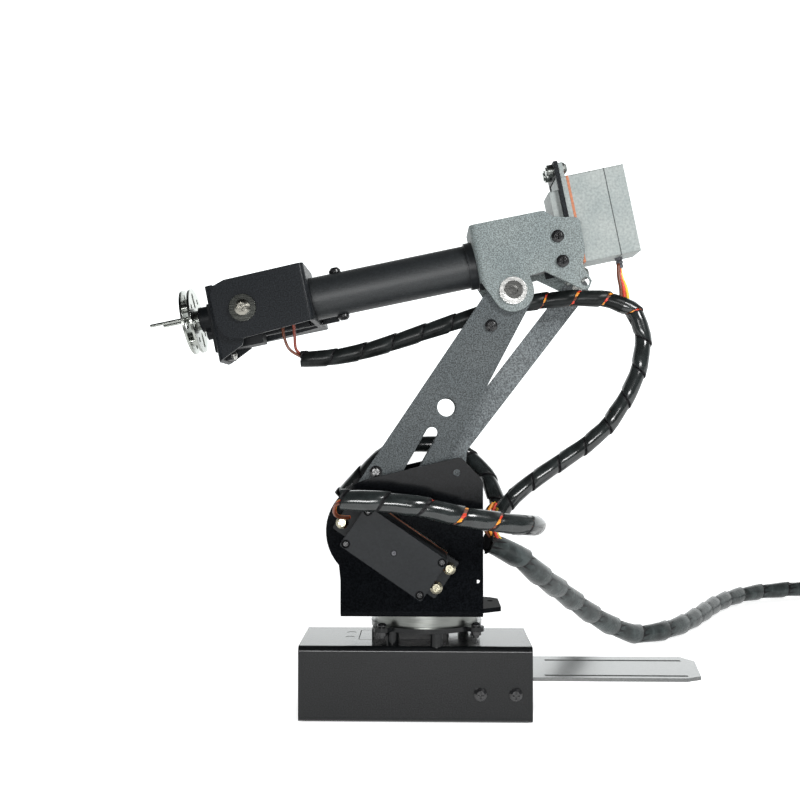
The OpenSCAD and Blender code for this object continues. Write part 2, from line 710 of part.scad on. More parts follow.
// washer, socket head, shank and nut of the pivot on the -Y side
module elbow_bolt() {
    difference() {
        union() {
            ycyl(elbow_x, elbow_z, -brk_out - 0.8, -brk_out, 6.2);
            ycyl(elbow_x, elbow_z, -brk_out - 3.8, -brk_out - 0.8, 4.1);
            ycyl(elbow_x, elbow_z, -brk_out - 0.8, -9.2, 3.15);
            ycyl(elbow_x, elbow_z, -11, -9.2, 4.8);
        }
        ycyl(elbow_x, elbow_z, -brk_out - 5, -brk_out - 2, 1.9);
    }
}
module tube_bush() {
    color(dark) tube_frame() difference() {
        union() {
            xcyl(19.4, 22.9, 0, 0, 11);
            xcyl(22.9, 27, 0, 0, 11.9);
        }
        xcyl(14, 28, 0, 0, tube_od / 2 + 0.06);
    }
}
module bracket_screws() {
    color(dark) arm() for (p = bracket_holes) {
        pan_near(p[0], p[1], -brk_out, 2.8, 1.8, 1.5, 5);
        pan_far(p[0], p[1], brk_out, 2.8, 1.8, 1.5, 5);
    }
}
module roll_servo_case() { color(servo_dark) at_roll_servo() servo_case(); }
module roll_servo_lid() { color(servo_dark) at_roll_servo() servo_lid(); }
module roll_servo_screws() {
    color(steel) at_roll_servo() {
        servo_lid_screws();
        servo_flange_screws(plate);
    }
}
module roll_servo_wires() {
    color([0.8, 0.4, 0.1]) {
        tube_frame() box([87.2, -3.6, -13.2], [91, 3.6, -10.02]);
        arm() for (k = [-1:1]) {
            sweep(smooth([[89.8 + k * 0.5, k * 1.5, 204.4], [90.4 + k * 1.1, k * 1.5, 199],
                [91.5 + k * 1.4, k * 1.4 - 1, 195], [91.5 + k * 1.6, -2 + k * 1.5, 192]], 3), 0.65, 8);
        }
    }
}
module rod_pin() {
    color(steel) arm() {
        ycyl(t_x, t_z, rod_y - 1, brk_out + 1.4, 2);
        ycyl(t_x, t_z, rod_y - 1.1, rod_y - 0.1, 2.3);
        ycyl(t_x, t_z, rod_y + rod_t + 0.1, brk_out - plate, 3);
        ycyl(t_x, t_z, brk_out, brk_out + 1.6, 3.2);
    }
}
module forearm_cable() { color(dark) arm() sweep(smooth(forearm_route, 2), forearm_cable_d / 2, 10); }

// ---- tube and wrist ----
tube_screw_u = -41.5;
fork_u = -53.7;
module forearm_tube() {
    color(dark) tube_frame() difference() {
        xcyl(fork_u, tube_end, 0, 0, tube_od / 2);
        xcyl(-60, 40, 0, 0, tube_od / 2 - 1.2);
        xcyl(39, 60, 0, 0, 1.5);
        translate([tube_screw_u, 0, -15]) cylinder(r = 1.6, h = 30);
    }
}
module roll_servo_horn() { color(steel) at_roll_servo() servo_horn(8.4); }
module tube_screws() {
    color(dark) tube_frame() {
        translate([tube_screw_u, 0, tube_od / 2 + 0.02]) pan(2.8, 2.4, 1.45, 4);
        translate([tube_screw_u, 0, -tube_od / 2 - 0.02]) rotate([180, 0, 0]) pan(2.8, 2.4, 1.45, 4);
    }
}
module fork_outline() {
    difference() {
        polygon([[fork_u, 14.8], [fork_u, -11.4], [-88, -13.4], [-92.5, -12.6], [-95.6, -9.5], [-97.4, -4],
                 [-97.4, 8.9], [-95.5, 12.4], [-90, 14.1]]);
        translate([wrist_u, 0]) circle(4.5);
    }
}
module wrist_fork() {
    color(dark) tube_frame() difference() {
        union() {
            intersection() {
                slab(-fork_out, 2 * fork_out) fork_outline();
                translate([0, 0, -30]) linear_extrude(60) mirror([1, 0, 0])
                    channel_xy(-fork_u, 60, fork_out, 2.6);
            }
            slab(fork_out - plate, plate) difference() {
                translate([-101, -10.5]) square([56, 21]);
                translate([wrist_u, 0]) circle(4.5);
            }
            xcyl(fork_u - 0.1, -36, 0, 0, tube_od / 2 - 1.23);
        }
        translate([wrist_u, fork_out, 0]) rotate([90, 0, 0]) rotate([0, 0, 180]) servo_slots(plate);
        translate([tube_screw_u, 0, -15]) cylinder(r = 1.5, h = 30);
    }
}
module pitch_servo_case() {
    color(servo_dark) at_pitch_servo() {
        servo_case();
        servo_lid();
    }
}
module pitch_servo_screws() {
    color(steel) at_pitch_servo() {
        servo_lid_screws();
        servo_flange_screws(plate);
    }
}
module wrist_wires() {
    color([0.5, 0.15, 0.1]) arm() for (k = [0:1]) {
        sweep(smooth([[-67 + 5.5 * k, -4 - 2 * k, 178], [-66 + 5 * k, -4, 172], [-63.4 + 3 * k, -3, 165.5],
            [-59, -3 + 1.8 * k, 161.6 + k]], 3), 0.65, 8);
    }
}

// ---- yoke and tool ----
yoke_y = 17.2;
yoke_far = 8;
module wrist_yoke() {
    t = 1.6;
    color(dark) tube_frame() difference() {
        union() {
            intersection() {
                slab(-yoke_y, yoke_y + yoke_far) polygon([
                    [tool_u - t, 13.4], [tool_u + 2, 13.4], [-90, 8], [-84, 7], [-78, 3.6], [-77, 0],
                    [-78.4, -4.4], [-84, -7.4], [-88, -16], [tool_u - t, -21.5]]);
                translate([0, 0, -40]) linear_extrude(80) difference() {
                    translate([tool_u - t, -yoke_y]) rrect(60, yoke_y + yoke_far, 2.2);
                    translate([tool_u, -yoke_y + t]) rrect(60, yoke_y + yoke_far - 2 * t, 0.6);
                }
            }
        }
        translate([0, 0, tool_rise]) {
            box([tool_u - 5, -6.3, -17.1], [tool_u + 5, 6.3, 6.1]);
            for (z = [-19.3, 8.3]) xcyl(tool_u - 5, tool_u + 5, 0, z, 1.1);
        }
        ycyl(wrist_u, 0, -yoke_y - 1, -yoke_y + 3, 2.1);
        ycyl(wrist_u, 0, yoke_far - 3, yoke_far + 1, 1.4);
    }
}
// flanged bush and screw on the near side, driven horn on the far side
module pitch_bearing() {
    color(steel) tube_frame() {
        difference() {
            union() {
                ycyl(wrist_u, 0, -fork_out - 0.1, -yoke_y, 4.44);
                ycyl(wrist_u, 0, -fork_out - 1.3, -fork_out - 0.1, 6.1);
            }
            ycyl(wrist_u, 0, -fork_out - 2, -yoke_y + 1, 2.05);
        }
        pan_near(wrist_u, 0, -fork_out - 1.3, 3.5, 2, 2.05, 6);
        difference() {
            union() {
                ycyl(wrist_u, 0, yoke_far + 0.02, fork_out - 2.7, 3);
                ycyl(wrist_u, 0, yoke_far + 0.02, fork_out - boss_top - 0.4, 7.6);
            }
            ycyl(wrist_u, 0, 0, 20, 1.3);
        }
    }
}
module disc_slot(z) {
    box([7.5, -1.6, z - 1], [11.5, 1.6, z + 2]);
    zcyl(7.5, 0, z - 1, z + 2, 1.6);
    zcyl(11.5, 0, z - 1, z + 2, 1.6);
}
module tool_servo_case() { color(servo_dark) at_tool_servo() micro_case(); }
module tool_servo_screws() { color(steel) at_tool_servo() micro_flange_screws(1.6); }
// output shaft and hub that carry the tool flange
module tool_hub() {
    color(steel) at_tool_servo() difference() {
        union() {
            zcyl(0, 0, 2.2, disc_z, 2.3);
            zcyl(0, 0, micro_boss + 0.4, disc_z, 4.6);
        }
        zcyl(0, 0, 6, disc_z + 1, 1);
    }
}
disc_z = 10.4;
disc_r = 15.2;
disc_gap = 3.7;
// two slotted discs held apart by four spacers, with two locating pins
module tool_discs() {
    color(steel) at_tool_servo() {
        for (z = [disc_z, disc_z + disc_gap]) difference() {
            zcyl(0, 0, z, z + 1.1, disc_r);
            zcyl(0, 0, z - 1, z + 2, z == disc_z ? 1 : 2.5);
            for (a = [0:3]) rotate([0, 0, 75 + 90 * a]) disc_slot(z);
            for (a = [0:3]) rotate([0, 0, 30 + 90 * a]) zcyl(11, 0, z - 1, z + 2, 1.3);
        }
        for (a = [0:3]) rotate([0, 0, 30 + 90 * a]) difference() {
            zcyl(11, 0, disc_z + 1, disc_z + disc_gap + 0.1, 2.2);
            zcyl(11, 0, disc_z - 1, disc_z + disc_gap + 2, 1.3);
        }
        for (a = [-1, 1]) zcyl(1.4, a * 4.4, disc_z + 1, a < 0 ? 32 : 28, 0.75);
    }
}
module main_cable() { color(dark) arm() sweep(smooth(main_route, 2), main_cable_d / 2, 10); }

// three-wire leads that fan out of the bundle, each with its own plug
module cable_connectors() {
    color([0.05, 0.05, 0.05]) arm() for (i = [0:5]) {
        a = -42 + 14 * i;
        d = [cos(a), sin(a), 0];
        sweep(smooth([cable_end + [0.8, (i - 2.5) * 1.3, 0],
                      cable_end + d * 9 + [0, 0, -1.4], cable_end + d * 20 + [0, 0, -4.1],
                      cable_end + d * 30 + [0, 0, -4.4]], 2), 1.1, 8);
        translate([cable_end[0], cable_end[1], 0.1]) rotate([0, 0, a]) box([30, -3.8, 0], [44, 3.8, 2.6]);
    }
}
base_shell();
base_floor();
board_plate();
base_screws();
base_servo_case();
base_servo_lid();
base_servo_screws();
bearing_outer_race();
bearing_balls();
bearing_seat_ring();
bearing_standoffs();
bearing_clamp_screws();
turntable_bracket();
bearing_inner_race();
bearing_hub();
base_servo_horn();
turntable_screws();
shoulder_servo_case();
shoulder_servo_lid();
shoulder_servo_screws();
elbow_servo_case();
elbow_servo_lid();
elbow_servo_screws();
near_cable();
far_cable();
link_near();
link_far();
link_spacers();
link_screws();
shoulder_servo_horn();
shoulder_bearing();
elbow_crank();
crank_pin();
push_rod();
elbow_bracket();
servo_wall();
elbow_bolts();
tube_bush();
bracket_screws();
roll_servo_case();
roll_servo_lid();
roll_servo_screws();
roll_servo_wires();
rod_pin();
forearm_cable();
forearm_tube();
roll_servo_horn();
tube_screws();
wrist_fork();
pitch_servo_case();
pitch_servo_screws();
wrist_wires();
wrist_yoke();
pitch_bearing();
tool_servo_case();
tool_servo_screws();
tool_hub();
tool_discs();
main_cable();
cable_connectors();
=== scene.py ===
"""Looks of the desktop robot arm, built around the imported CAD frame."""

import json
import math

import bpy
from mathutils import Matrix, Vector


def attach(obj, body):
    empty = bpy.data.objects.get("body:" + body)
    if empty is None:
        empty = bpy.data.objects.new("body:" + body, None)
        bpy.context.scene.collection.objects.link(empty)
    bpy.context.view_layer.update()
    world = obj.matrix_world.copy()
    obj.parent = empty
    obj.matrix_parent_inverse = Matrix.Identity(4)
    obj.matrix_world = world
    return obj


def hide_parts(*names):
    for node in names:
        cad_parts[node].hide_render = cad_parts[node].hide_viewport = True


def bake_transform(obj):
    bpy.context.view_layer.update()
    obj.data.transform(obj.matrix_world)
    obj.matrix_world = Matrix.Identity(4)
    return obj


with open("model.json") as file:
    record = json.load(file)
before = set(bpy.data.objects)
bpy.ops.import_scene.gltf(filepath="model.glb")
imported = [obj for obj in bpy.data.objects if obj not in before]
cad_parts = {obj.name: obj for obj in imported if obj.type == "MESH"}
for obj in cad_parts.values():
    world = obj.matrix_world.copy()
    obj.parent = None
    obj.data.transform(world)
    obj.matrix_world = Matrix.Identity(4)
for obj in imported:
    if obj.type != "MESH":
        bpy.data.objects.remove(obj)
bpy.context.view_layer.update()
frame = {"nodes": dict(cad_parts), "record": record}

# ---- the arm's own frame, turned about Z on the base, in millimetres ----
JOINTS = {j["name"]: j for j in frame["record"]["behaviour"]["joints"]}
ARM_Y = Vector(JOINTS["shoulder"]["axis"])
YAW = math.atan2(-ARM_Y.x, ARM_Y.y)
TURN = Matrix.Rotation(YAW, 3, "Z")
ROLL = TURN.inverted() @ Vector(JOINTS["forearm_roll"]["axis"])
TILT = math.atan2(ROLL.z, ROLL.x)
TUBE_Z = 200.0
MM = 0.001


def arm(p):
    """A point of the arm's frame, millimetres, as a point of the row frame, metres."""
    return TURN @ Vector(p) * MM


def tube(u, y, w):
    """A point along, beside and above the forearm tube's axis, in the arm's frame."""
    c, s = math.cos(TILT), math.sin(TILT)
    return Vector((u * c - w * s, y, TUBE_Z + u * s + w * c))


# ---- camera ----
CAMERA_AT = (-0.6, -470.0, 132.8)
CAMERA_LEFT = math.radians(1.42)
CAMERA_UP = math.radians(1.13)
LENS = 45.45


def make_camera():
    data = bpy.data.cameras.new("camera")
    data.lens = LENS
    data.sensor_width = 36
    data.clip_start = 0.01
    cam = bpy.data.objects.new("camera", data)
    bpy.context.scene.collection.objects.link(cam)
    cam.location = arm(CAMERA_AT)
    flat = Vector((-math.sin(CAMERA_LEFT), math.cos(CAMERA_LEFT), 0))
    look = flat * math.cos(CAMERA_UP) + Vector((0, 0, math.sin(CAMERA_UP)))
    cam.rotation_euler = (TURN @ look).to_track_quat("-Z", "Y").to_euler()
    bpy.context.scene.camera = cam


make_camera()


# ---- materials ----
class Nodes:
    """A small helper round one material's node tree."""

    def __init__(self, name):
        self.mat = bpy.data.materials.new(name)
        self.mat.use_nodes = True
        self.tree = self.mat.node_tree
        self.shader = self.tree.nodes["Principled BSDF"]
        self.coords = self.add("ShaderNodeTexCoord").outputs["Object"]

    def add(self, kind, **values):
        node = self.tree.nodes.new(kind)
        for key, value in values.items():
            if hasattr(node, key):
                setattr(node, key, value)
            else:
                node.inputs[key.replace("_", " ")].default_value = value
        return node

    def link(self, a, b):
        self.tree.links.new(a, b)

    def noise(self, scale, detail=2.0, rough=0.5):
        n = self.add("ShaderNodeTexNoise", Scale=scale, Detail=detail, Roughness=rough)
        self.link(self.coords, n.inputs["Vector"])
        return n.outputs["Fac"]

    def ramp(self, fac, low, high, a=0.4, b=0.6):
        r = self.add("ShaderNodeValToRGB")
        r.color_ramp.elements[0].position = a
        r.color_ramp.elements[0].color = (*low, 1)
        r.color_ramp.elements[1].position = b
        r.color_ramp.elements[1].color = (*high, 1)
        self.link(fac, r.inputs["Fac"])
        return r.outputs["Color"]

    def multiply(self, a, b):
        m = self.add("ShaderNodeMix", data_type="RGBA", blend_type="MULTIPLY")
        m.inputs[0].default_value = 1.0
        self.link(a, m.inputs[6])
        self.link(b, m.inputs[7])
        return m.outputs[2]

    def rough(self, fac, low, high):
        m = self.add("ShaderNodeMapRange", To_Min=low, To_Max=high)
        self.link(fac, m.inputs["Value"])
        self.link(m.outputs["Result"], self.shader.inputs["Roughness"])

    def bump(self, height, distance, bevel=0.0):
        b = self.add("ShaderNodeBump", Strength=1.0, Distance=distance)
        self.link(height, b.inputs["Height"])
        if bevel:
            e = self.add("ShaderNodeBevel", samples=4, Radius=bevel)
            self.link(e.outputs["Normal"], b.inputs["Normal"])
        self.link(b.outputs["Normal"], self.shader.inputs["Normal"])


def scaled(colour, k):
    return tuple(min(1.0, c * k) for c in colour)


def powder_coat(name, colour, rough=0.52, shine=0.25, coat=0.0, contrast=1.0, coat_rough=0.12, coat_ior=1.3):
    """Sandy powder coat: a fine grain with pale specks, under a thin glaze where coat is set."""
    n = Nodes(name)
    grain = n.noise(1800, 2, 0.6)
    broad = n.noise(35, 3)
    low, high = 1 - 0.5 * contrast, 1 + 0.7 * contrast
    base = n.ramp(grain, scaled(colour, low), scaled(colour, high), 0.38, 0.64)
    cloud = n.ramp(broad, (0.82, 0.85, 0.87), (1.0, 1.0, 1.0), 0.3, 0.7)
    n.link(n.multiply(base, cloud), n.shader.inputs["Base Color"])
    n.rough(grain, rough - 0.1, rough + 0.14)
    n.bump(grain, 0.00009, 0.0005)
    n.shader.inputs["Specular IOR Level"].default_value = shine
    n.shader.inputs["Coat Weight"].default_value = coat
    n.shader.inputs["Coat Roughness"].default_value = coat_rough
    n.shader.inputs["Coat IOR"].default_value = coat_ior
    return n.mat


def moulded(name, colour, rough=0.42, grain_scale=900, shine=0.3):
    """Moulded plastic with a fine spark texture and light smears."""
    n = Nodes(name)
    grain = n.noise(grain_scale, 2)
    smear = n.noise(60, 4, 0.6)
    base = n.ramp(grain, scaled(colour, 0.85), scaled(colour, 1.18), 0.3, 0.7)
    tone = n.ramp(smear, (0.82, 0.85, 0.86), (1.0, 1.0, 1.0), 0.35, 0.65)
    n.link(n.multiply(base, tone), n.shader.inputs["Base Color"])
    n.rough(smear, rough - 0.08, rough + 0.12)
    n.bump(grain, 0.00003, 0.0004)
    n.shader.inputs["Specular IOR Level"].default_value = shine
    return n.mat


def metal_nodes(name, colour, rough, scratch=220):
    """Bright metal with fine drawn scratches: its nodes and its colour's socket."""
    n = Nodes(name)
    stretch = n.add("ShaderNodeMapping")
    stretch.inputs["Scale"].default_value = (1, 1, 14)
    n.link(n.coords, stretch.inputs["Vector"])
    lines = n.add("ShaderNodeTexNoise", Scale=scratch, Detail=4.0)
    n.link(stretch.outputs["Vector"], lines.inputs["Vector"])
    fac = lines.outputs["Fac"]
    base = n.ramp(fac, scaled(colour, 0.8), colour, 0.35, 0.65)
    n.link(base, n.shader.inputs["Base Color"])
    n.shader.inputs["Metallic"].default_value = 1.0
    n.rough(fac, rough - 0.07, rough + 0.12)
    n.bump(fac, 0.00001, 0.00025)
    return n, base


def metal(name, colour, rough, scratch=220):
    return metal_nodes(name, colour, rough, scratch)[0].mat


def two_tone(name, colour, past_y, outer, outer_metallic):
    """Metal in one tone, and in another where the node stands further from the middle plane than past_y."""
    n, base = metal_nodes(name, colour, 0.24)
    split = n.add("ShaderNodeSeparateXYZ")
    n.link(n.coords, split.inputs[0])
    side = n.add("ShaderNodeMath", operation="ABSOLUTE")
    n.link(split.outputs["Y"], side.inputs[0])
    outside = n.add("ShaderNodeMath", operation="GREATER_THAN")
    outside.inputs[1].default_value = past_y
    n.link(side.outputs[0], outside.inputs[0])
    tone = n.add("ShaderNodeMix", data_type="RGBA")
    n.link(outside.outputs[0], tone.inputs[0])
    n.link(base, tone.inputs[6])
    tone.inputs[7].default_value = (*outer, 1)
    n.link(tone.outputs[2], n.shader.inputs["Base Color"])
    bright = n.add("ShaderNodeMapRange", To_Min=1.0, To_Max=outer_metallic)
    n.link(outside.outputs[0], bright.inputs["Value"])
    n.link(bright.outputs["Result"], n.shader.inputs["Metallic"])
    return n.mat


def spiral_wrap(name, pale, shine, rough):
    """Glossy black polyethylene band with soft smears; pale lightens its black, as painted light on the lit copies.
    """
    n = Nodes(name)
    smear = n.noise(140, 3, 0.6)
    base = n.ramp(smear, scaled((0.006, 0.007, 0.007), pale), scaled((0.014, 0.017, 0.017), pale), 0.35, 0.7)
    n.link(base, n.shader.inputs["Base Color"])
    n.rough(smear, rough, rough + 0.13)
    n.bump(smear, 0.00005)
    n.shader.inputs["Specular IOR Level"].default_value = shine
    return n.mat


def insulation(name, colour):
    """Coloured sleeve of a single wire."""
    n = Nodes(name)
    fac = n.noise(300, 2)
    n.link(n.ramp(fac, scaled(colour, 0.75), colour, 0.3, 0.7), n.shader.inputs["Base Color"])
    n.rough(fac, 0.3, 0.45)
    n.bump(fac, 0.00002)
    return n.mat


def pale_floor():
    """White paper that stays bright, as on a lit table."""
    n = Nodes("floor_paper")
    fac = n.noise(6, 3)
    colour = n.ramp(fac, (0.93, 0.93, 0.93), (0.96, 0.96, 0.96))
    n.link(colour, n.shader.inputs["Base Color"])
    n.link(colour, n.shader.inputs["Emission Color"])
    n.shader.inputs["Emission Strength"].default_value = 0.75
    n.rough(fac, 0.6, 0.7)
    return n.mat


COAT_BASE = powder_coat("coat_base", (0.005, 0.0055, 0.006), 0.4, 0.06, 1.0)
# the board plate's coat is ten times lighter than the base's: painted sheen for the white it reflects at a grazing
# angle
COAT_BOARD_LIT = powder_coat("coat_board_painted_sheen", (0.05, 0.053, 0.052), 0.4, 0.5, 1.0, 0.6, 0.25, 1.7)
COAT_TURN = powder_coat("coat_turntable", (0.0035, 0.004, 0.0048), 0.4, 0.0, 0.1)
# the links and the elbow bracket take lighter copies of the same black powder coat: painted light, for how brightly
# each is lit
COAT_LINK_LIT = powder_coat("coat_links_painted_light", (0.07, 0.08, 0.083), 0.5, 0.25, 0.0, 1.2)
COAT_ELBOW_LIT = powder_coat("coat_elbow_painted_light", (0.208, 0.236, 0.232), 0.55, 0.25, 0.0, 0.8)
COAT_TUBE = powder_coat("coat_tube", (0.018, 0.0205, 0.022), 0.45, 0.55, 0.0, 0.6)
COAT_WRIST = powder_coat("coat_wrist", (0.012, 0.0138, 0.016), 0.45, 0.12, 0.12)
COAT_ROD = powder_coat("coat_rod", (0.135, 0.148, 0.152), 0.5)
SERVO = moulded("servo_black", (0.009, 0.0105, 0.012), 0.42, 900, 0.15)
# light grey on the roll servo's case: painted sheen on a dark plastic case
SERVO_SHEEN_GREY = moulded("servo_painted_sheen", (0.33, 0.36, 0.35), 0.45)
BUSH = moulded("bush_black", (0.02, 0.022, 0.024), 0.4)
PLUG = moulded("plug_black", (0.012, 0.012, 0.012), 0.45)
STEEL = metal("steel_bright", (0.7, 0.7, 0.67), 0.24)
DIM_STEEL = metal("steel_dim", (0.4, 0.42, 0.4), 0.3)
TOOL_STEEL = metal("steel_tool", (0.42, 0.44, 0.41), 0.2)
BOLT_STEEL = two_tone("steel_bolt", (0.8, 0.8, 0.78), 0.01701, (0.14, 0.14, 0.135), 1.0)
PIVOT_STEEL = two_tone("steel_pivot", (0.075, 0.078, 0.072), 0.02131, (0.34, 0.33, 0.29), 1.0)
RACE = metal("steel_race", (0.24, 0.25, 0.235), 0.3, 90)
BRASS = two_tone("screw_brass", (0.42, 0.395, 0.3), 0.045, (0.015, 0.015, 0.016), 0.0)
BLACK_SCREW = moulded("screw_black", (0.012, 0.012, 0.013), 0.22, 500, 0.6)
# near black, used for the real seam between a servo's case and lid, and as painted shade in the cable bundles
JOINT_AND_SHADE_BLACK = moulded("joint_and_shade_black", (0.004, 0.004, 0.005), 0.5)
SEAM_GREY = moulded("seam_grey", (0.09, 0.1, 0.098), 0.5)
RELIEF = moulded("relief_grey", (0.1, 0.1, 0.11), 0.4)
LINE = moulded("case_line", (0.5, 0.19, 0.1), 0.4)
WRAP = spiral_wrap("spiral_wrap", 1.0, 0.2, 0.26)
# lightened copies of the same black band: painted light on the near, far, loop and drop lengths, and painted sheen
# on the main cable
WRAP_GLOSS_LIT = spiral_wrap("spiral_wrap_gloss_lit", 1.6, 0.65, 0.12)
WRAP_MAIN_LIT = spiral_wrap("spiral_wrap_main_painted_sheen", 4.6, 0.15, 0.2)
BROWN = insulation("wire_brown", (0.16, 0.045, 0.02))
RED = insulation("wire_red", (0.7, 0.05, 0.02))
DULL_RED = insulation("wire_dull_red", (0.26, 0.05, 0.03))
ORANGE = insulation("wire_orange", (0.95, 0.35, 0.03))
YELLOW = insulation("wire_yellow", (0.95, 0.62, 0.05))
WIRES = [BROWN, RED, ORANGE]
# the bundles' slot for that black: painted shade under each turn's lip, on its step wall, and on the core where the
# band is closed
SHADE_SLOT = 1 + len(WIRES)


# ---- cable and wire meshes ----
def catmull(a, b, c, d, t):
    return 0.5 * ((2 * b) + (c - a) * t + (2 * a - 5 * b + 4 * c - d) * t * t
                  + (3 * b - a - 3 * c + d) * t * t * t)


class Route:
    """A smooth line through given points of the arm's frame."""

    def __init__(self, points, step=0.5):
        pts = [Vector(p) for p in points]
        fine = []
        for i in range(len(pts) - 1):
            a, b = pts[max(i - 1, 0)], pts[i]
            c, d = pts[i + 1], pts[min(i + 2, len(pts) - 1)]
            fine += [catmull(a, b, c, d, k / 24) for k in range(24)]
        fine.append(pts[-1])
        self.points = [fine[0]]
        left = step
        for p, q in zip(fine, fine[1:]):
            seg = (q - p).length
            at = left
            while at <= seg:
                self.points.append(p.lerp(q, at / seg))
                at += step
            left = at - seg
        self.step = step
        self.length = step * (len(self.points) - 1)
        self.ways, self.refs = [], []
        ref = Vector((0, 1, 0))
        last = len(self.points) - 1
        for i in range(last + 1):
            way = (self.points[min(i + 2, last)] - self.points[max(i - 2, 0)]).normalized()
            ref = (ref - way * ref.dot(way)).normalized()
            self.ways.append(way)
            self.refs.append(ref.copy())

    def at(self, s):
        """Centre, direction and two cross directions at a distance along the route."""
        i = min(max(s / self.step, 0), len(self.points) - 1.001)
        k, f = int(i), i - int(i)
        centre = self.points[k].lerp(self.points[k + 1], f)
        over = s - min(max(s, 0), self.length)
        way = self.ways[k].lerp(self.ways[k + 1], f).normalized()
        ref = self.refs[k].lerp(self.refs[k + 1], f).normalized()
        return centre + way * over, way, ref, way.cross(ref)

    def point(self, s, radius, angle):
        c, _, u, v = self.at(s)
        return c + radius * (math.cos(angle) * u + math.sin(angle) * v)

    def near(self, p):
        """Distance along the route of its point nearest p."""
        p = Vector(p)
        best = min(range(len(self.points)), key=lambda i: (self.points[i] - p).length)
        return best * self.step


def mesh_object(name, verts, faces, mats, slots=None, smooth=True):
    me = bpy.data.meshes.new(name)
    me.from_pydata([arm(v) for v in verts], [], faces)
    for m in mats:
        me.materials.append(m)
    if slots:
        me.polygons.foreach_set("material_index", slots)
    me.polygons.foreach_set("use_smooth", [smooth] * len(me.polygons))
    me.update()
    obj = bpy.data.objects.new(name, me)
    bpy.context.scene.collection.objects.link(obj)
    return obj


def grid_faces(first, rings, sides, close_ends=True):
    faces = []
    for i in range(rings - 1):
        for k in range(sides):
            a, b = first + i * sides + k, first + i * sides + (k + 1) % sides
            faces.append((a, b, b + sides, a + sides))
    if close_ends:
        faces.append(tuple(first + k for k in reversed(range(sides))))
        faces.append(tuple(first + (rings - 1) * sides + k for k in range(sides)))
    return faces


def facet(route, s, pitch):
    """A point of the route straightened turn by turn, as a stiff band makes it."""
    k = math.floor(s / pitch)
    a, b = route.at(k * pitch)[0], route.at((k + 1) * pitch)[0]
    centre, way, u, v = route.at(s)
    straight = a.lerp(b, s / pitch - k)
    return centre.lerp(straight, 0.8), way, u, v


LOBES, CORE_SIDES, CORE_RING_EVERY = 9, 36, 2.0
CORE_SHARE, LOBE_SHARE, CORE_TWIST = 0.8, 0.07, 26.0
BAND_STEPS, BAND_WALL = 32, 0.085
SHORTEST_EDGE = 0.12


def bundle(name, route, d, pitch, wrap, span=None, gaps=(), step=0.05, steep=0.3):
    """Several leads in a spiral band: a lobed core with the helical band round it.

    span is the stretch of the route that is built, as (start, end).
    gaps lists (distance along the route, opening) where the band stands open.
    step is how far each turn stands over the one before, as a share of d.
    steep makes the seams stand squarer to the route on the side that faces the viewer."""
    s0, s1 = span or (0.0, route.length)
    big = d / 2
    verts, faces, slots = [], [], []
    rings = max(3, int((s1 - s0) / CORE_RING_EVERY) + 1)

    def on(s, r, a):
        c, _, u, v = facet(route, s, pitch)
        return c + r * (math.cos(a) * u + math.sin(a) * v)

    for i in range(rings):
        s = s0 + (s1 - s0) * i / (rings - 1)
        for k in range(CORE_SIDES):
            a = 2 * math.pi * k / CORE_SIDES
            verts.append(on(s, big * CORE_SHARE * (1 + LOBE_SHARE * math.cos(LOBES * a)), a - s / CORE_TWIST))
    core = grid_faces(0, rings, CORE_SIDES)
    faces += core
    for n in range(len(core)):
        along = s0 + (s1 - s0) * (n // CORE_SIDES + 0.5) / (rings - 1)
        bare = any(abs(along - at) < 0.9 * pitch for at, _ in gaps)
        lead = ((n % CORE_SIDES) + CORE_SIDES // (2 * LOBES)) // (CORE_SIDES // LOBES)
        # the core takes the wires' colours only where the band stands open; elsewhere it is painted black, as shade
        # inside the band
        slots.append(1 + (lead % LOBES) % len(WIRES) if bare else SHADE_SLOT)

    first = len(verts)
    t0 = int(math.ceil((s0 / pitch - 0.75) * BAND_STEPS))
    t1 = int(math.floor((s1 / pitch + 0.75) * BAND_STEPS))
    wall, lift = BAND_WALL * d, step * d
    for t in range(t0, t1 + 1):
        a = -2 * math.pi * t / BAND_STEPS
        s = (-a - steep * math.sin(a)) * pitch / (2 * math.pi)
        open_by = 0.02 * pitch + 0.4 * lift
        for at, size in gaps:
            open_by = max(open_by, size * (1 - min(1.0, abs(s - at) / (0.8 * pitch)) ** 2))
        wide = pitch - open_by
        # across the band: (share of its width, radius)
        section = [(0.0, big - lift - 0.3), (0.045, big - lift), (0.35, big - 0.62 * lift),
                   (0.68, big - 0.28 * lift), (0.968, big), (1.0, big - 0.25), (1.0, big - wall),
                   (0.0, big - lift - wall)]
        for v, r in section:
            along = min(max(s + (v - 0.5) * wide, s0 - 0.2), s1 + 0.2)
            verts.append(on(along, r, a))
    for f in grid_faces(first, t1 - t0 + 1, len(section), False):
        if max((verts[f[0]] - verts[f[2]]).length, (verts[f[1]] - verts[f[3]]).length) > SHORTEST_EDGE:
            faces.append(f)
            # only the band's outer face takes the wrap; the strip under the lip, the lip's corner, the step wall and
            # the inside are painted black as shade in the seams
            slots.append(0 if 1 <= (f[0] - first) % len(section) <= 3 else SHADE_SLOT)
    obj = mesh_object(name, verts, faces, [wrap] + WIRES + [JOINT_AND_SHADE_BLACK], slots)
    edges = obj.modifiers.new("edges", "EDGE_SPLIT")
    edges.split_angle = math.radians(38)
    return obj


def wire(name, points, d, mat, body, sides=10):
    """One round lead."""
    route = Route(points, 0.4)
    rings = max(4, int(route.length / 0.8))
    verts = [route.point(route.length * i / (rings - 1), d / 2, 2 * math.pi * k / sides)
             for i in range(rings) for k in range(sides)]
    obj = mesh_object(name, verts, grid_faces(0, rings, sides), [mat])
    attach(obj, body)
    return obj


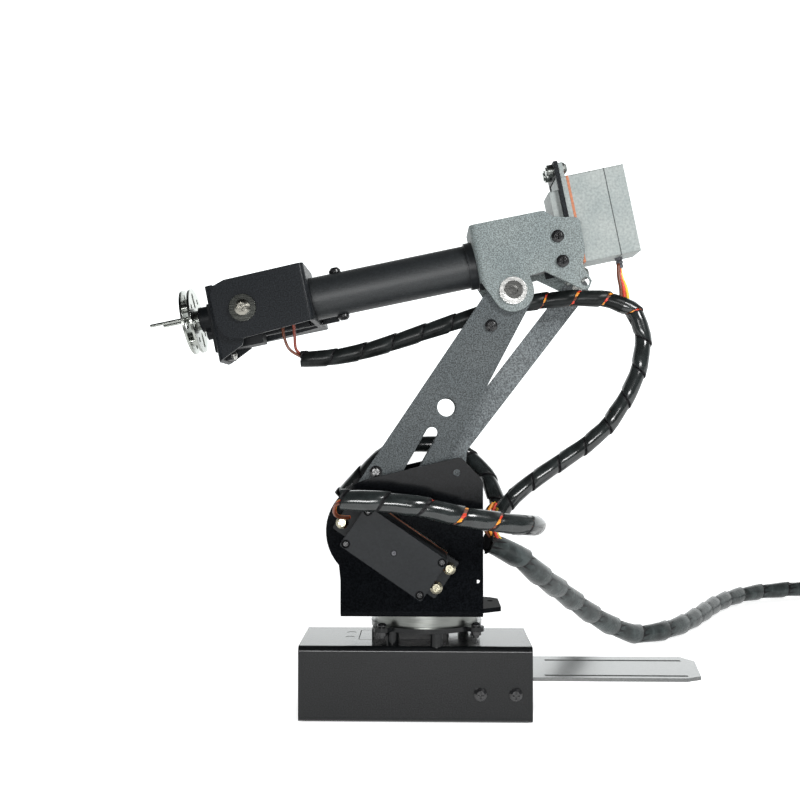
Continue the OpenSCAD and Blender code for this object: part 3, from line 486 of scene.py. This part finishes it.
# ---- the cables ----
# Each route follows the one in the CAD. The main cable starts, and the forearm cable ends, a little nearer the arm.
FOREARM_ROUTE = [
    (-58, -2, 161), (-45, -2, 161.6), (-26, -2, 165.4), (-3, -2, 172.8), (20, -2, 180.3),
    (38, -2, 185.4), (57.6, -2, 188.4), (76, -2, 189.2), (91, -2, 187), (99.4, -2, 178.4),
    (99.9, -2, 165.4), (95.7, -2, 149), (87.8, -1, 136.5), (80.8, 0, 126.3), (66.9, 1, 116.5),
    (52.9, 2, 106.7), (42, 3, 99), (35.5, 3, 90.5)]
NEAR_ROUTE = [
    (-34.5, -62.4, 100.6), (-24.5, -62.4, 100.2), (-13.8, -61.8, 99.5), (-3.1, -60.2, 97.9), (6.5, -57.4, 95.4),
    (15, -54, 93), (25, -50, 91.1), (35.2, -45, 89.2), (43.9, -38, 87.8), (48, -29, 87), (46, -18, 86),
    (40, -9, 85)]
FAR_ROUTE = [
    (-43, 38, 94), (-34, 38, 103.5), (-22, 38, 115), (-8, 38, 120.6), (6, 37.6, 120.8), (18, 36.4, 117),
    (28, 33, 108.5), (33, 26, 98), (35.5, 18, 88)]
MAIN_ROUTE = [
    (28.5, 3, 76), (39, 9, 72.5), (54, 30, 58), (70, 60, 44), (92, 95, 25), (113, 120, 11),
    (127, 132, 6.2), (150, 152, 5.9), (175, 190, 5.9), (204, 241, 5.9), (238, 280, 5.9), (283, 300, 5.9),
    (330, 305, 5.9), (375, 300, 5.9)]
MAIN_D, FOREARM_D, NEAR_D, FAR_D = 11.5, 8.0, 9.0, 8.4
MAIN_TURN, FOREARM_TURN, NEAR_TURN, FAR_TURN = 25.0, 14.5, 16.5, 15.0
LEAD_D = 1.4


def make_main_cable():
    route = Route(MAIN_ROUTE)
    obj = bundle("main_cable_wrap", route, MAIN_D, MAIN_TURN, WRAP_MAIN_LIT, step=0.1, steep=0.7)
    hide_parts("main_cable")
    path = [arm(facet(route, route.length * i / 200, MAIN_TURN)[0]) for i in range(201)]
    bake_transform(obj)


def make_fixed_cables():
    route = Route(NEAR_ROUTE)
    near = bundle("near_servo_cable_wrap", route, NEAR_D, NEAR_TURN, WRAP_GLOSS_LIT,
                  gaps=[(route.near((14, -54, 93)), 3.0), (route.near((33, -46, 89)), 0.9)])
    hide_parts("near_cable")
    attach(near, "turntable")
    far = bundle("far_servo_cable_wrap", Route(FAR_ROUTE), FAR_D, FAR_TURN, WRAP_GLOSS_LIT)
    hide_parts("far_cable")
    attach(far, "turntable")


def make_forearm_cable():
    """One bundle in five lengths, each built from its own stretch of the route."""
    route = Route(FOREARM_ROUTE)
    ends = [(-4, -2, 172.5), (24, -2, 181.5), (91, -2, 187), (87.8, -1, 136.5)]
    cuts = [0.0] + [route.near(p) for p in ends] + [route.length]
    gaps = [(route.near((57, -2, 188)), 1.5), (route.near((76, -2, 189)), 1.2), (route.near((91, -2, 187)), 1.0)]
    wraps = {"wrist": WRAP, "approach": WRAP, "elbow": WRAP, "loop": WRAP_GLOSS_LIT, "drop": WRAP_GLOSS_LIT}
    wrist, approach, elbow, loop, drop = [
        bundle("forearm_cable_" + n, route, FOREARM_D, FOREARM_TURN, wraps[n], (cuts[i], cuts[i + 1]), gaps)
        for i, n in enumerate(wraps)]
    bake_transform(wrist)
    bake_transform(approach)
    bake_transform(elbow)
    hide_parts("forearm_cable")
    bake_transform(loop)
    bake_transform(drop)


def make_leads():
    roll = [wire(f"roll_servo_wire_{k}", [(89.4 + j * 0.5, j * 1.3, 205), (89.8 + j * 1.0, j * 1.4 - 1, 199),
                                          (91 + j * 1.5, j * 1.2 - 2, 194), (91.6 + j * 1.8, -2 + j * 1.0, 188.5)],
                 1.6, mat, "forearm") for k, j, mat in [(0, -1, BROWN), (1, 0, RED), (2, 1, YELLOW)]]
    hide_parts("roll_servo_wires")
    wrist = [wire(f"wrist_wire_{k}", [(-67 + 5.5 * k, -4 - 2 * k, 181), (-66 + 5 * k, -4, 172),
                                      (-63.4 + 3 * k, -3, 165.5), (-57, -3 + 1.8 * k, 161.6 + k)],
                  LEAD_D, mat, "wrist_tube") for k, mat in enumerate([BROWN, DULL_RED])]
    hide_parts("wrist_wires")
    for k, mat in enumerate(WIRES):
        j = k - 1
        wire(f"near_servo_wire_{k}", [(-33, -62 + j * 1.6, 100.5 + j), (-36.6, -61 + j * 1.4, 98.6),
                                      (-37.6, -57 + j * 1.4, 95), (-36, -51 + j * 1.4, 92.6),
                                      (-32, -47 + j * 1.4, 92)], LEAD_D, mat, "turntable")
        wire(f"far_servo_wire_{k}", [(-42, 38 + j * 1.4, 95), (-42.4, 40 + j * 1.4, 91),
                                     (-39, 43 + j * 1.4, 89.5), (-32, 45 + j * 1.4, 90.2)], LEAD_D, mat, "turntable")
    count = 7
    for k in range(count):
        a = 2 * math.pi * k / count
        wire(f"junction_wire_{k}", [(33 + 2 * math.cos(a), 5 + 2 * math.sin(a), 94),
                                    (30 + 2.6 * math.cos(a + 0.5), 4 + 2.6 * math.sin(a + 0.5), 89),
                                    (30 + 2.6 * math.cos(a + 1), 3 + 2.6 * math.sin(a + 1), 81),
                                    (35 + 1.6 * math.cos(a), 5, 75)],
             LEAD_D, [ORANGE, RED, YELLOW, BROWN][k % 4], "turntable")


make_main_cable()
make_fixed_cables()
make_forearm_cable()
make_leads()


# ---- servo details ----
def placed(steps, to_arm=lambda p: p):
    """A function from a servo's own frame to the arm's frame, by the rotations that the CAD uses."""
    m = Matrix.Identity(4)
    for step in steps:
        m = m @ step
    return lambda x, y, z: to_arm(m @ Vector((x, y, z)))


def turned(angle, axis):
    return Matrix.Rotation(math.radians(angle), 4, axis)


LEAN, SIDE, SHOULDER_X, SHOULDER_Z, ROLL_U = 34.5, 28.0, -21.8, 84.2, 68.3
NEAR_SERVO = placed([Matrix.Translation((SHOULDER_X, -SIDE, SHOULDER_Z)), turned(-90, "X"), turned(LEAN, "Z"),
                     turned(180, "Z")])
FAR_SERVO = placed([Matrix.Translation((SHOULDER_X, SIDE, SHOULDER_Z)), turned(90, "X"), turned(-LEAN, "Z"),
                    turned(180, "Z")])
ROLL_SERVO = placed([Matrix.Translation((ROLL_U, 0, 0)), turned(-90, "Y"), turned(180, "Z")],
                    lambda p: tube(*p))
# a servo's case in its own frame: its ends, half its width, and the heights of its lid's seam and its coloured line
SERVO_X, SERVO_HALF, LID_Z, LINE_Z = (-30.5, 10.0), 10.0, -20.3, -2.7


def rounded_rect(grow, r=0.8, n=5):
    """A servo case's outline with rounded corners, grown a little."""
    x0, x1 = SERVO_X[0] - grow, SERVO_X[1] + grow
    h = SERVO_HALF + grow
    out = []
    for cx, cy, a0 in [(x1 - r, h - r, 0), (x0 + r, h - r, 90), (x0 + r, r - h, 180), (x1 - r, r - h, 270)]:
        for i in range(n):
            a = math.radians(a0 + 90 * i / (n - 1))
            out.append((cx + r * math.cos(a), cy + r * math.sin(a)))
    return out


def belt(name, place, z0, z1, grow, mat, body):
    """A thin band round a servo's case, such as the seam between case and lid."""
    loops = [(grow - 0.5, z0), (grow - 0.05, z0), (grow, z0 + 0.06), (grow, z1 - 0.06), (grow - 0.05, z1),
             (grow - 0.5, z1)]
    verts = [place(x, y, z) for g, z in loops for x, y in rounded_rect(g)]
    n = len(verts) // len(loops)
    last = len(verts) - n
    inner = [(last + k, last + (k + 1) % n, (k + 1) % n, k) for k in range(n)]
    obj = mesh_object(name, verts, grid_faces(0, len(loops), n, False) + inner, [mat], smooth=False)
    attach(obj, body)


def turned_part(name, place, profile, mat, body, sides=28):
    """A small round part: rings of (radius, height) about the local Z axis."""
    verts = [place(r * math.cos(2 * math.pi * k / sides), r * math.sin(2 * math.pi * k / sides), z)
             for r, z in profile for k in range(sides)]
    obj = mesh_object(name, verts, grid_faces(0, len(profile), sides), [mat])
    obj.modifiers.new("edges", "EDGE_SPLIT").split_angle = math.radians(35)
    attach(obj, body)
    return obj


def make_servo_details():
    servos = [("near", NEAR_SERVO, JOINT_AND_SHADE_BLACK, 0.7, "turntable"), ("far", FAR_SERVO, JOINT_AND_SHADE_BLACK, 0.7, "turntable"),
              ("roll", ROLL_SERVO, SEAM_GREY, 1.2, "forearm")]
    for name, place, seam, line_w, body in servos:
        belt(f"{name}_servo_seam", place, LID_Z - 0.2, LID_Z + 0.25, 0.1, seam, body)
        belt(f"{name}_servo_line", place, LINE_Z - line_w, LINE_Z, 0.08, LINE, body)
        middle = (SERVO_X[0] + SERVO_X[1]) / 2
        turned_part(f"{name}_lid_screw", lambda x, y, z, f=place, m=middle: f(x + m, y, z),
                    [(0.2, -28.95), (0.45, -29.1), (0.95, -29.15), (1.0, -28.9)], RELIEF, body, 20)
    # strain relief where the roll servo's leads come out
    relief = [(1.9, 0), (2.0, -0.4), (1.9, -1.4), (1.5, -1.5), (1.5, -1.9), (1.85, -2.0), (1.7, -3.1), (1.3, -3.2),
              (1.3, -3.6), (1.6, -3.7), (1.4, -5.0), (0.9, -5.1)]
    turned_part("roll_servo_relief", lambda x, y, z: tube(89.0 + 0.9 * x, 1.25 * y, z - 9.9), relief, RELIEF,
                "forearm")


make_servo_details()

# ---- materials on the CAD nodes ----
NODE_MATERIALS = {
    COAT_BASE: ["base_shell", "base_floor", "base_servo_case", "base_servo_screws", "bearing_standoffs",
                "bearing_seat_ring"],
    COAT_BOARD_LIT: ["board_plate"],
    COAT_TURN: ["turntable_bracket"],
    COAT_LINK_LIT: ["link_near", "link_far", "link_spacers", "elbow_crank"],
    COAT_ELBOW_LIT: ["elbow_bracket"],
    COAT_ROD: ["push_rod"],
    COAT_TUBE: ["forearm_tube"],
    COAT_WRIST: ["wrist_fork", "wrist_yoke", "servo_wall"],
    DIM_STEEL: ["roll_servo_screws", "tool_hub"],
    PIVOT_STEEL: ["pitch_bearing"],
    TOOL_STEEL: ["tool_discs"],
    BOLT_STEEL: ["elbow_bolts"],
    SERVO: ["base_servo_lid", "shoulder_servo_case", "shoulder_servo_lid", "elbow_servo_case",
            "elbow_servo_lid", "pitch_servo_case", "tool_servo_case"],
    SERVO_SHEEN_GREY: ["roll_servo_case", "roll_servo_lid"],
    BUSH: ["tube_bush"],
    PLUG: ["cable_connectors"],
    RACE: ["bearing_outer_race", "bearing_inner_race", "bearing_balls"],
    BRASS: ["shoulder_servo_screws", "elbow_servo_screws"],
    BLACK_SCREW: ["base_screws", "bearing_clamp_screws", "turntable_screws", "link_screws", "bracket_screws",
                  "tube_screws"],
}


def dress_nodes():
    given = {n: m for m, names in NODE_MATERIALS.items() for n in names}
    for node, obj in frame["nodes"].items():
        mat = given.get(node, STEEL)
        if not obj.material_slots:
            obj.data.materials.append(mat)
        for slot in obj.material_slots:
            slot.material = mat


dress_nodes()


# ---- floor and light ----
def make_floor():
    """Paper from just in front of the arm to well behind it."""
    verts = [(-3, -0.24, -0.0002), (3, -0.24, -0.0002), (3, 4, -0.0002), (-3, 4, -0.0002)]
    me = bpy.data.meshes.new("floor")
    me.from_pydata(verts, [], [(0, 1, 2, 3)])
    me.materials.append(pale_floor())
    floor = bpy.data.objects.new("floor", me)
    bpy.context.scene.collection.objects.link(floor)


def area_light(name, at, to, size, power):
    data = bpy.data.lights.new(name, "AREA")
    data.shape = "RECTANGLE"
    data.size, data.size_y = size[0] * MM, size[1] * MM
    data.energy = power
    obj = bpy.data.objects.new(name, data)
    bpy.context.scene.collection.objects.link(obj)
    obj.location = arm(at)
    obj.rotation_euler = (arm(to) - arm(at)).to_track_quat("-Z", "Y").to_euler()


def fade(tree, socket, start, end, low, high):
    """A smooth change from low to high as the socket's value goes from start to end."""
    node = tree.nodes.new("ShaderNodeMapRange")
    node.interpolation_type = "SMOOTHSTEP"
    for name, value in [("From Min", start), ("From Max", end), ("To Min", low), ("To Max", high)]:
        node.inputs[name].default_value = value
    tree.links.new(socket, node.inputs["Value"])
    return node.outputs["Result"]


def combine(tree, how, a, b):
    node = tree.nodes.new("ShaderNodeMath")
    node.operation = how
    tree.links.new(a, node.inputs[0])
    tree.links.new(b, node.inputs[1])
    return node.outputs[0]


def make_light():
    """A bright white wall behind, dark above and dim on the camera's side, as round a small light table."""
    world = bpy.data.worlds.new("studio")
    bpy.context.scene.world = world
    world.use_nodes = True
    tree = world.node_tree
    back = tree.nodes["Background"]
    coord = tree.nodes.new("ShaderNodeTexCoord")
    split = tree.nodes.new("ShaderNodeSeparateXYZ")
    tree.links.new(coord.outputs["Generated"], split.inputs[0])
    rear = fade(tree, split.outputs["Y"], -0.15, 0.5, 0.06, 1.7)
    high = fade(tree, split.outputs["Z"], 0.42, 0.75, 1.0, 0.12)
    wall = combine(tree, "MULTIPLY", rear, high)
    # the backdrop looks white from every side, while the light it gives stays as above
    seen = tree.nodes.new("ShaderNodeLightPath").outputs["Is Camera Ray"]
    tree.links.new(combine(tree, "MAXIMUM", wall, seen), back.inputs["Strength"])
    back.inputs["Color"].default_value = (0.97, 1.0, 1.0, 1)
    area_light("upper_right", (330, -420, 430), (75, 0, 205), (160, 160), 2.6)
    area_light("front", (-30, -640, 100), (0, 0, 150), (320, 90), 2.3)
    bpy.context.scene.view_settings.view_transform = "Standard"


make_floor()
make_light()
